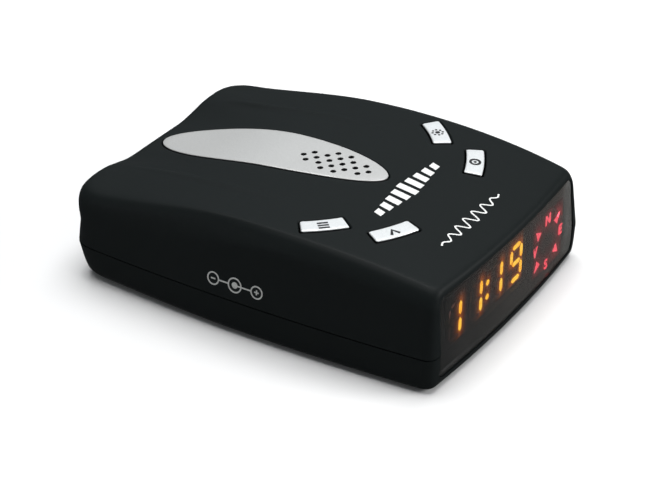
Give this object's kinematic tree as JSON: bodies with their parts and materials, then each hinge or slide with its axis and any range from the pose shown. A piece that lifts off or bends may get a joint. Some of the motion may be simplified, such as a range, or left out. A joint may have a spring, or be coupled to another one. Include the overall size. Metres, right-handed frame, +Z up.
{
  "type": "radar detector",
  "caption": "Dash-top radar detector: arched black casing, smoked display window, silver press keys, perforated speaker plate, horn antenna and circuit boards inside",
  "frame": {"origin": "under the middle of the unit, on the surface that its feet stand on", "axes": "+X to the driver's right, +Y forward to the windscreen, +Z up; the display faces -Y"},
  "size_m": [0.077, 0.1023, 0.0293],
  "materials": {
    "casing_black": "soft-touch moulded black plastic, slightly cool, very fine grain",
    "plate_silver": "satin silver lacquer on plastic",
    "key_silver": "bright satin silver lacquer with black printed signs",
    "window_smoke": "polished smoked acrylic",
    "mask_black": "flat black mask",
    "led_amber": "amber light-emitting segments behind a smoked face",
    "led_red": "red light-emitting signs behind a smoked face",
    "board_green": "green solder mask with pale legends and tinned pads",
    "moulded_black": "moulded black plastic",
    "tinned_steel": "tinned sheet steel",
    "screw_steel": "plated steel screw",
    "cast_alloy": "die-cast alloy, lightly grained",
    "antenna_ceramic": "tan ceramic with a silver patch",
    "cone_black": "black moulded cone",
    "foot_rubber": "black rubber",
    "label_film": "plain dark grey film label with no print"
  },
  "bodies": {
    "casing": {"upper_shell": "casing_black", "lower_shell": "casing_black", "speaker_plate": "plate_silver", "switch_menu": "moulded_black", "switch_select": "moulded_black", "switch_mute": "moulded_black", "switch_dim": "moulded_black", "display_window": "window_smoke", "display_bezel": "mask_black", "clock_display": "led_amber", "compass_display": "led_red", "display_board": "board_green", "display_header": "moulded_black", "key_board": "board_green", "key_header": "moulded_black", "main_board": "board_green", "processor": "moulded_black", "gps_receiver_can": "tinned_steel", "backup_cell": "tinned_steel", "horn_antenna": "cast_alloy", "rf_shield": "tinned_steel", "gps_antenna_board": "board_green", "gps_antenna": "antenna_ceramic", "laser_lens": "window_smoke", "laser_sensor": "moulded_black", "speaker_frame": "tinned_steel", "speaker_cone": "cone_black", "speaker_magnet": "tinned_steel", "power_socket": "tinned_steel", "case_screw_1": "screw_steel", "case_screw_2": "screw_steel", "case_screw_3": "screw_steel", "case_screw_4": "screw_steel", "rubber_foot_1": "foot_rubber", "rubber_foot_2": "foot_rubber", "rubber_foot_3": "foot_rubber", "rubber_foot_4": "foot_rubber", "rating_label": "label_film"},
    "button_menu": {"key_menu": "key_silver", "plunger_menu": "moulded_black"},
    "button_select": {"key_select": "key_silver", "plunger_select": "moulded_black"},
    "button_mute": {"key_mute": "key_silver", "plunger_mute": "moulded_black"},
    "button_dim": {"key_dim": "key_silver", "plunger_dim": "moulded_black"}
  },
  "joints": [
    {"name": "menu_press", "type": "slide", "parent": "casing", "child": "button_menu", "axis": [0, 0, -1], "range_m": [0, 0.0004], "stiffness_N_per_m": 300},
    {"name": "select_press", "type": "slide", "parent": "casing", "child": "button_select", "axis": [0, 0, -1], "range_m": [0, 0.0004], "stiffness_N_per_m": 300},
    {"name": "mute_press", "type": "slide", "parent": "casing", "child": "button_mute", "axis": [0, 0, -1], "range_m": [0, 0.0004], "stiffness_N_per_m": 300},
    {"name": "dim_press", "type": "slide", "parent": "casing", "child": "button_dim", "axis": [0, 0, -1], "range_m": [0, 0.0004], "stiffness_N_per_m": 300}
  ]
}
